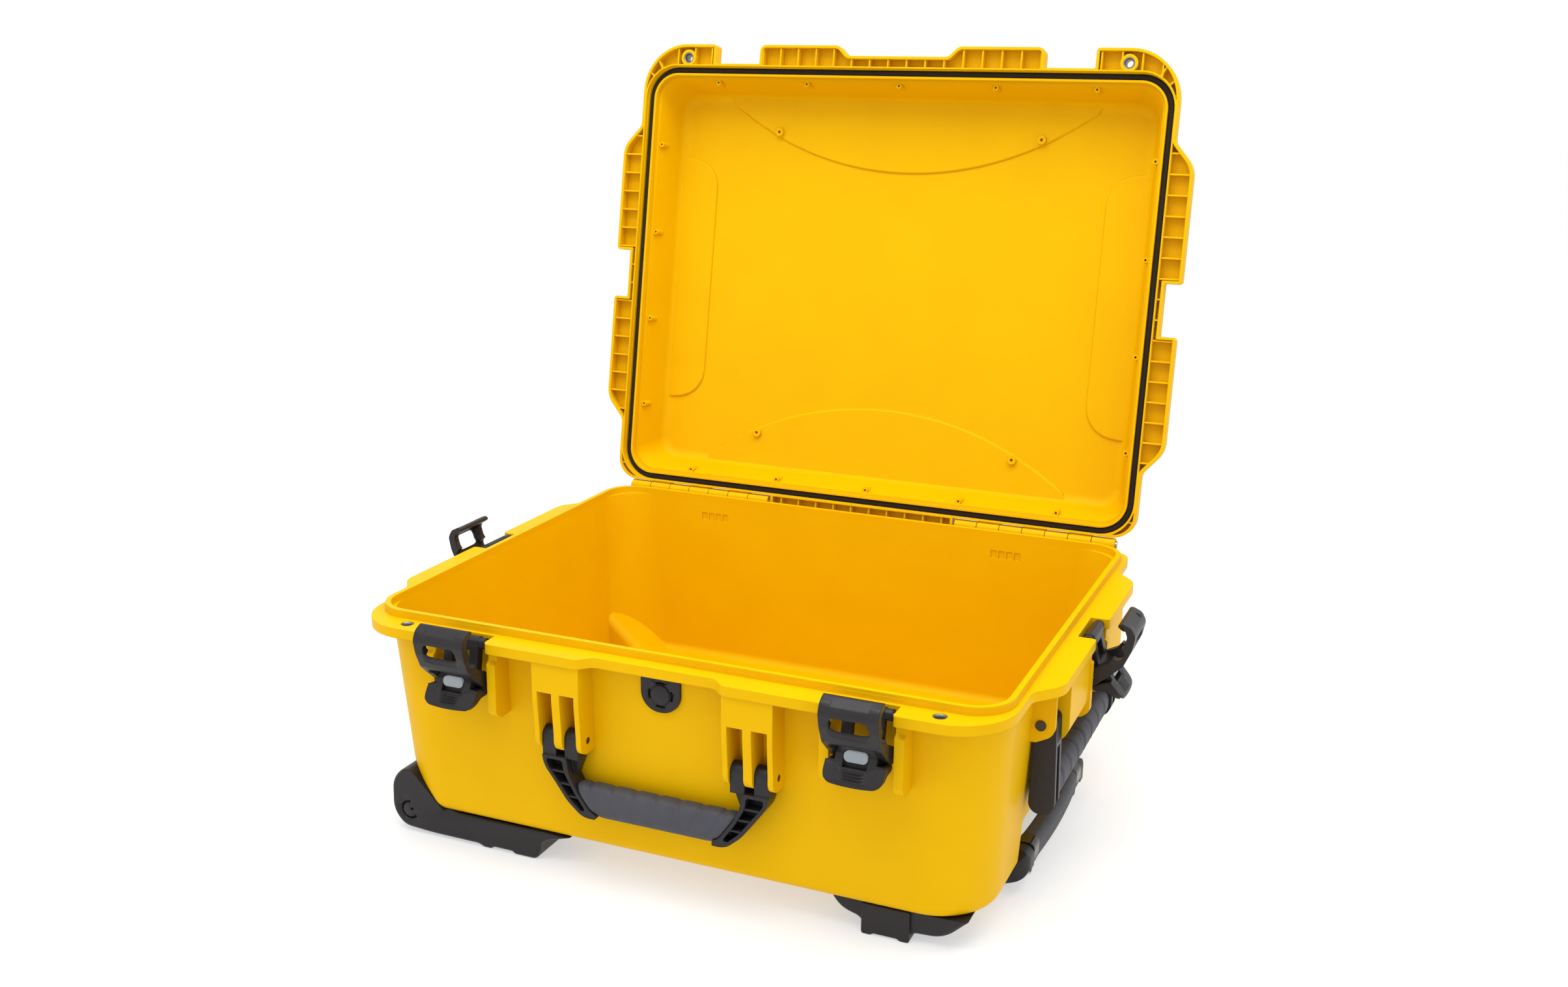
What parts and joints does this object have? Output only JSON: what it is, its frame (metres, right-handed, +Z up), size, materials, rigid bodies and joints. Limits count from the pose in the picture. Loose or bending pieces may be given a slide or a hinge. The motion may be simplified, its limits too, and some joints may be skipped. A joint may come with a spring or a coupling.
{
  "type": "wheeled protective hard case",
  "caption": "Wheeled hard case with hinged lid, draw latches, folding carry handles, telescopic tow handle, padlock eyelets and pressure valve, shown open.",
  "frame": {"origin": "on the floor under the middle of the base", "axes": "+Z up, front handle and two latches towards -Y, hinge towards +Y, wheels towards -X, tow handle towards +X"},
  "size_m": [0.7136, 0.6676, 0.7216],
  "materials": {
    "shell": "moulded polypropylene, fine satin grain",
    "gasket": "soft dark cord",
    "steel": "bright stainless",
    "black": "glass filled nylon, fine grain",
    "soft_grip": "soft overmould",
    "slider": "satin grey",
    "gloss_black": "gloss",
    "tyre": "solid elastomer",
    "hub": "nylon hub",
    "bush": "sintered bush",
    "tube": "anodised tube"
  },
  "bodies": {
    "base": {"base_shell": "shell", "base_eyelets": "steel", "hinge_pins": "steel", "valve_cover": "black", "valve_core": "black", "valve_nut": "black", "lever_pins": "steel", "handle_pins": "steel", "wheel_housing_front": "black", "wheel_housing_rear": "black", "wheel_axles": "steel", "right_foot_front": "black", "right_foot_rear": "black", "tow_tray": "black", "tow_outer_tubes": "tube", "floor_screws": "steel"},
    "lid": {"lid_shell": "shell", "lid_gasket": "gasket", "lid_eyelets": "steel"},
    "front_handle": {"front_handle_frame": "black", "front_handle_grip": "soft_grip"},
    "side_handle": {"side_handle_frame": "black", "side_handle_grip": "soft_grip"},
    "wheel_front": {"wheel_tyre_front": "tyre", "wheel_hub_front": "hub", "wheel_bush_front": "bush"},
    "wheel_rear": {"wheel_tyre_rear": "tyre", "wheel_hub_rear": "hub", "wheel_bush_rear": "bush"},
    "tow_handle": {"tow_inner_tubes": "tube", "tow_frame": "black", "tow_bands": "gloss_black", "tow_grip": "soft_grip"},
    "tow_button": {"tow_button": "gloss_black"},
    "lever_front_left": {"lever_front_left": "black", "claw_pin_front_left": "steel"},
    "claw_front_left": {"claw_front_left": "black"},
    "lock_slider_front_left": {"lock_slider_front_left": "slider"},
    "lever_front_right": {"lever_front_right": "black", "claw_pin_front_right": "steel"},
    "claw_front_right": {"claw_front_right": "black"},
    "lock_slider_front_right": {"lock_slider_front_right": "slider"},
    "lever_right": {"lever_right": "black", "claw_pin_right": "steel"},
    "claw_right": {"claw_right": "black"},
    "lock_slider_right": {"lock_slider_right": "slider"},
    "lever_left": {"lever_left": "black", "claw_pin_left": "steel"},
    "claw_left": {"claw_left": "black"},
    "lock_slider_left": {"lock_slider_left": "slider"}
  },
  "joints": [
    {"name": "lid_hinge", "type": "hinge", "parent": "base", "child": "lid", "pos_m": [0, 0.2453, 0.2222], "axis": [1, 0, 0], "range_deg": [0, 100]},
    {"name": "lever_front_left_hinge", "type": "hinge", "parent": "base", "child": "lever_front_left", "pos_m": [-0.188, -0.248, 0.2125], "axis": [1, 0, 0], "range_deg": [-60, 10]},
    {"name": "claw_front_left_hinge", "type": "hinge", "parent": "lever_front_left", "child": "claw_front_left", "pos_m": [-0.188, -0.25145, 0.17968], "axis": [-1, 0, 0], "range_deg": [-19, 47]},
    {"name": "lock_slider_front_left_slide", "type": "slide", "parent": "lever_front_left", "child": "lock_slider_front_left", "axis": [0, -0.1736, -0.9848], "range_m": [0, 0.004]},
    {"name": "lever_front_right_hinge", "type": "hinge", "parent": "base", "child": "lever_front_right", "pos_m": [0.188, -0.248, 0.2125], "axis": [1, 0, 0], "range_deg": [-60, 10]},
    {"name": "claw_front_right_hinge", "type": "hinge", "parent": "lever_front_right", "child": "claw_front_right", "pos_m": [0.188, -0.25145, 0.17968], "axis": [-1, 0, 0], "range_deg": [-19, 47]},
    {"name": "lock_slider_front_right_slide", "type": "slide", "parent": "lever_front_right", "child": "lock_slider_front_right", "axis": [0, -0.1736, -0.9848], "range_m": [0, 0.004]},
    {"name": "lever_right_hinge", "type": "hinge", "parent": "base", "child": "lever_right", "pos_m": [0.315, 0, 0.2125], "axis": [0, 1, 0], "range_deg": [-50, 15]},
    {"name": "claw_right_hinge", "type": "hinge", "parent": "lever_right", "child": "claw_right", "pos_m": [0.3213, 0, 0.18011], "axis": [0, -1, 0], "range_deg": [-15, 51]},
    {"name": "lock_slider_right_slide", "type": "slide", "parent": "lever_right", "child": "lock_slider_right", "axis": [0.2588, 0, -0.9659], "range_m": [0, 0.004]},
    {"name": "lever_left_hinge", "type": "hinge", "parent": "base", "child": "lever_left", "pos_m": [-0.315, 0, 0.2125], "axis": [0, -1, 0], "range_deg": [-50, 15]},
    {"name": "claw_left_hinge", "type": "hinge", "parent": "lever_left", "child": "claw_left", "pos_m": [-0.3213, 0, 0.18011], "axis": [0, 1, 0], "range_deg": [-15, 51]},
    {"name": "lock_slider_left_slide", "type": "slide", "parent": "lever_left", "child": "lock_slider_left", "axis": [-0.2588, 0, -0.9659], "range_m": [0, 0.004]},
    {"name": "front_handle_hinge", "type": "hinge", "parent": "base", "child": "front_handle", "pos_m": [0, -0.2445, 0.1375], "axis": [-1, 0, 0], "range_deg": [0, 95]},
    {"name": "side_handle_hinge", "type": "hinge", "parent": "base", "child": "side_handle", "pos_m": [0.3025, 0, 0.1735], "axis": [0, -1, 0], "range_deg": [0, 90]},
    {"name": "wheel_front_spin", "type": "hinge", "parent": "base", "child": "wheel_front", "pos_m": [-0.271, -0.2055, 0.0225], "axis": [0, 1, 0], "continuous": true},
    {"name": "wheel_rear_spin", "type": "hinge", "parent": "base", "child": "wheel_rear", "pos_m": [-0.271, 0.2055, 0.0225], "axis": [0, 1, 0], "continuous": true},
    {"name": "tow_slide", "type": "slide", "parent": "base", "child": "tow_handle", "axis": [1, 0, 0], "range_m": [0, 0.38]},
    {"name": "tow_button_press", "type": "slide", "parent": "tow_handle", "child": "tow_button", "axis": [0, 0, -1], "range_m": [0, 0.003], "stiffness_N_per_m": 400}
  ]
}
